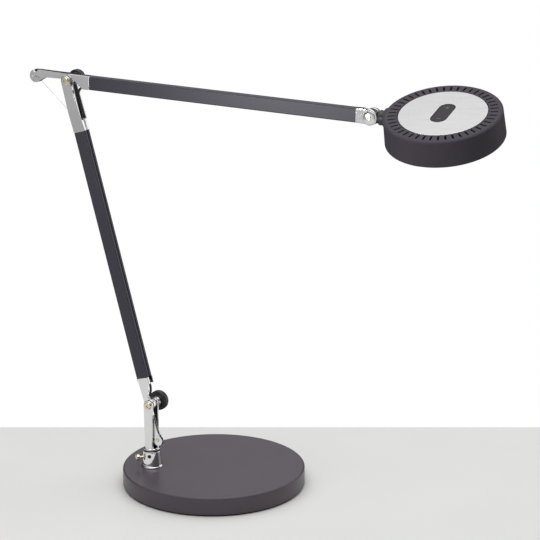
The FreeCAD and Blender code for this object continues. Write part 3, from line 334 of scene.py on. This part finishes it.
def route_points(points):
    """The smooth line of a route, read from the spline that its own points make."""
    c = bpy.data.curves.new("route", "CURVE")
    c.dimensions = "3D"
    s = c.splines.new("NURBS")
    s.points.add(len(points) - 1)
    for p, q in zip(s.points, points):
        p.co = (q[0], q[1], q[2], 1.0)
    s.order_u = 3
    s.use_endpoint_u = True
    s.resolution_u = 10
    o = bpy.data.objects.new("route", c)
    scene.collection.objects.link(o)
    me = bpy.data.meshes.new_from_object(o)
    got = [v.co.copy() for v in me.vertices]
    bpy.data.objects.remove(o)
    bpy.data.curves.remove(c)
    bpy.data.meshes.remove(me)
    return got


def tube(name, pts, radius, sides, slot):
    """A round closed tube that follows points, turning as little as it can."""
    bm = bmesh.new()
    tangents = []
    for i in range(len(pts)):
        a, b = pts[max(0, i - 1)], pts[min(len(pts) - 1, i + 1)]
        tangents.append((b - a).normalized())
    side = tangents[0].cross(ACROSS)
    if side.length < 0.2:
        side = tangents[0].cross(UP)
    side.normalize()
    rings = []
    for i, p in enumerate(pts):
        t = tangents[i]
        side = (side - t * side.dot(t)).normalized()
        other = t.cross(side)
        rings.append([bm.verts.new(p + (side * math.cos(2 * math.pi * k / sides) + other * math.sin(2 * math.pi * k / sides)) * radius)
                      for k in range(sides)])
    for a, b in zip(rings, rings[1:]):
        for k in range(sides):
            f = bm.faces.new((a[k], a[(k + 1) % sides], b[(k + 1) % sides], b[k]))
            f.smooth = True
    bm.faces.new(list(reversed(rings[0])))
    bm.faces.new(rings[-1])
    bmesh.ops.recalc_face_normals(bm, faces=bm.faces)
    return add(name, bm, slot)


KZ = 91.7
knee_route = [in_post(-1.8, 2.1, 47.0), in_post(-1.8, 2.1, 57.0), in_post(-5.2, 2.1, KZ - 16.0), in_post(-6.9, 2.1, KZ - 4.0),
              in_post(-6.9, 2.1, KZ + 2.0), in_post(-4.0, 2.1, KZ + 8.5), in_post(-1.6, 2.1, KZ + 13.0),
              in_lower(20.5, 1.2, -4.6), in_lower(27.4, 0.0, -3.8), in_lower(31.0, 0.0, -3.8)]
lead = tube("knee_lead.bent", route_points(knee_route), 0.0013, 16, "lead_rubber")
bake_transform(lead)
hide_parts("knee_lead")

e0 = ELBOW - FOOT
ex, ez = e0.dot(SWING) * 1000.0, e0.z * 1000.0
elbow_route = [in_lower(318.0, 0.0, -3.8), in_lower(320.5, 0.0, -3.8), in_lower(326.0, 0.6, -5.3), in_post(ex + 10.9, 0.6, ez - 20.5),
               in_post(ex + 12.0, 0.3, ez - 10.2), in_upper(18.0, 0.0, -5.0), in_upper(25.0, 0.0, -3.4), in_upper(29.0, 0.0, -3.4)]
lead = tube("elbow_lead.bent", route_points(elbow_route), 0.0013, 16, "lead_rubber")
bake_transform(lead)
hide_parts("elbow_lead")

# thin pull wires: the free run of each is straight at every pose, so it has only its two ends
free = tube("elbow_wire.free", [in_lower(317.0, 0.0, 0.2), in_upper(-41.0, 0.0, 0.6)], 0.00016, 10, SLOT_OF["elbow_wire"])
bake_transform(free)
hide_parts("elbow_wire")
held = tube("elbow_wire.held", route_points([in_lower(190.2, 0.0, 2.4), in_lower(300.0, 0.0, 2.2), in_lower(317.0, 0.0, 0.2)]), 0.00016, 10, SLOT_OF["elbow_wire"])
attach(held, "lower_arm")
free = tube("knee_wire.free", [in_post(2.4, -1.3, 44.5), in_lower(-39.0, -1.9, 1.0)], 0.00016, 10, SLOT_OF["knee_wire"])
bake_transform(free)
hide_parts("knee_wire")
held = tube("knee_wire.held", [in_post(2.2, -1.2, 40.0), in_post(2.4, -1.3, 44.5)], 0.00016, 10, SLOT_OF["knee_wire"])
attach(held, "post")


# ---------------------------------------------------------------- two small printed marks on the pad
def flat_shape(name, outlines, slot, body, mat, lift, thick):
    """Thin flat shapes on the head's top, each from its outline in millimetres."""
    bm = bmesh.new()
    for ring in outlines:
        top = [bm.verts.new(in_head(x, y, lift + thick)) for x, y in ring]
        low = [bm.verts.new(in_head(x, y, lift)) for x, y in ring]
        bm.faces.new(top)
        bm.faces.new(list(reversed(low)))
        for k in range(len(ring)):
            j = (k + 1) % len(ring)
            bm.faces.new((top[k], low[k], low[j], top[j]))
    bmesh.ops.recalc_face_normals(bm, faces=bm.faces)
    return add(name, bm, slot, body, mat)


PRINT = coated("pad_print", (0.16, 0.15, 0.165), 0.5, 2000.0, 0.00001, 0.08)
arm, bar = 1.9, 0.32
plus = [(-arm, 11.0 - bar), (-bar, 11.0 - bar), (-bar, 11.0 - arm), (bar, 11.0 - arm), (bar, 11.0 - bar), (arm, 11.0 - bar),
        (arm, 11.0 + bar), (bar, 11.0 + bar), (bar, 11.0 + arm), (-bar, 11.0 + arm), (-bar, 11.0 + bar), (-arm, 11.0 + bar)]
minus = [(-arm, -11.0 - bar), (arm, -11.0 - bar), (arm, -11.0 + bar), (-arm, -11.0 + bar)]
flat_shape("pad_marks", [plus, minus], "pad_plastic", "switch", PRINT, 13.28, 0.06)

# ---------------------------------------------------------------- floor, light and camera
table_mat, tt, tb = material("table_top", (0.82, 0.82, 0.805), 0.0, 0.8, 0.2)
tv = coords(tt)
tt.links.new(ramp(tt, noise(tt, tv, 6.0, 3.0), (0.81, 0.81, 0.795), (0.83, 0.83, 0.815)), tb.inputs["Base Color"])
bm = bmesh.new()
for x, y in ((-0.9, -1.4), (1.1, -1.4), (1.1, 0.179), (-0.9, 0.179)):
    bm.verts.new((x, y, -0.0002))
bm.faces.new(bm.verts)
me = bpy.data.meshes.new("table_top")
bm.to_mesh(me)
bm.free()
table = bpy.data.objects.new("table_top", me)
scene.collection.objects.link(table)
me.materials.append(table_mat)

# a white sweep behind the lamp, a bright ceiling and one white side wall, with the dark of the room between them
world = bpy.data.worlds.new("studio")
scene.world = world
world.use_nodes = True
wt = world.node_tree
sky = wt.nodes.new("ShaderNodeTexCoord").outputs["Generated"]
total = None


def patch(direction, inner, outer, value):
    """Light from round one direction: full inside one angle, none outside another."""
    global total
    d = Vector(direction).normalized()
    dot = wt.nodes.new("ShaderNodeVectorMath")
    dot.operation = "DOT_PRODUCT"
    dot.inputs[1].default_value = d
    wt.links.new(sky, dot.inputs[0])
    r = wt.nodes.new("ShaderNodeMapRange")
    r.interpolation_type = "SMOOTHSTEP"
    r.inputs["From Min"].default_value = math.cos(math.radians(outer))
    r.inputs["From Max"].default_value = math.cos(math.radians(inner))
    r.inputs["To Min"].default_value = 0.0
    r.inputs["To Max"].default_value = value
    wt.links.new(dot.outputs["Value"], r.inputs["Value"])
    got = r.outputs["Result"]
    if total is not None:
        s = wt.nodes.new("ShaderNodeMath")
        s.operation = "ADD"
        wt.links.new(total, s.inputs[0])
        wt.links.new(got, s.inputs[1])
        got = s.outputs["Value"]
    total = got


patch((0.0, 0.0, 1.0), 0.0, 180.0, 0.07)
patch((0.0, 0.12, 1.0), 40.0, 60.0, 0.86)
patch((-0.44, -0.865, 0.24), 26.0, 46.0, 0.3)
patch((0.9, 0.42, 0.1), 14.0, 30.0, 1.1)
patch((-0.75, -0.5, -0.45), 30.0, 60.0, 0.40)
patch((0.0, 0.9, 0.436), 6.0, 15.0, 0.68)
glow = wt.nodes["Background"]
wt.links.new(total, glow.inputs["Strength"])
glow.inputs["Color"].default_value = (1.0, 1.0, 1.0, 1.0)
white = wt.nodes.new("ShaderNodeBackground")
white.inputs["Color"].default_value = (1.0, 1.0, 1.0, 1.0)
white.inputs["Strength"].default_value = 1.0
seen = wt.nodes.new("ShaderNodeLightPath")
pick = wt.nodes.new("ShaderNodeMixShader")
wt.links.new(seen.outputs["Is Camera Ray"], pick.inputs["Fac"])
wt.links.new(glow.outputs["Background"], pick.inputs[1])
wt.links.new(white.outputs["Background"], pick.inputs[2])
wt.links.new(pick.outputs["Shader"], wt.nodes["World Output"].inputs["Surface"])


def area(name, at, to, size, power, spread=180.0, color=(1.0, 1.0, 1.0)):
    d = bpy.data.lights.new(name, "AREA")
    d.shape = "RECTANGLE"
    d.size, d.size_y = size
    d.energy = power
    d.color = color
    d.spread = math.radians(spread)
    o = bpy.data.objects.new(name, d)
    scene.collection.objects.link(o)
    o.location = at
    o.rotation_euler = (Vector(to) - Vector(at)).to_track_quat("-Z", "Y").to_euler()
    return o


area("top_box", (0.1, -0.3, 1.4), (0.1, -0.3, 0.0), (1.3, 1.3), 8.0)
area("side_box", (-0.5, -0.5, 0.42), (0.12, -0.1, 0.436), (0.2, 0.2), 0.25, 60.0)

cam = bpy.data.cameras.new("photo_camera")
cam.sensor_width = 36.0
cam.lens = 133.34
cam.clip_start = 0.05
cam.clip_end = 50.0
camera = bpy.data.objects.new("photo_camera", cam)
scene.collection.objects.link(camera)
camera.location = (0.06173, -2.06793, 0.8094)
camera.rotation_euler = (math.radians(90.0 - 15.32), 0.0, 0.0)
scene.camera = camera
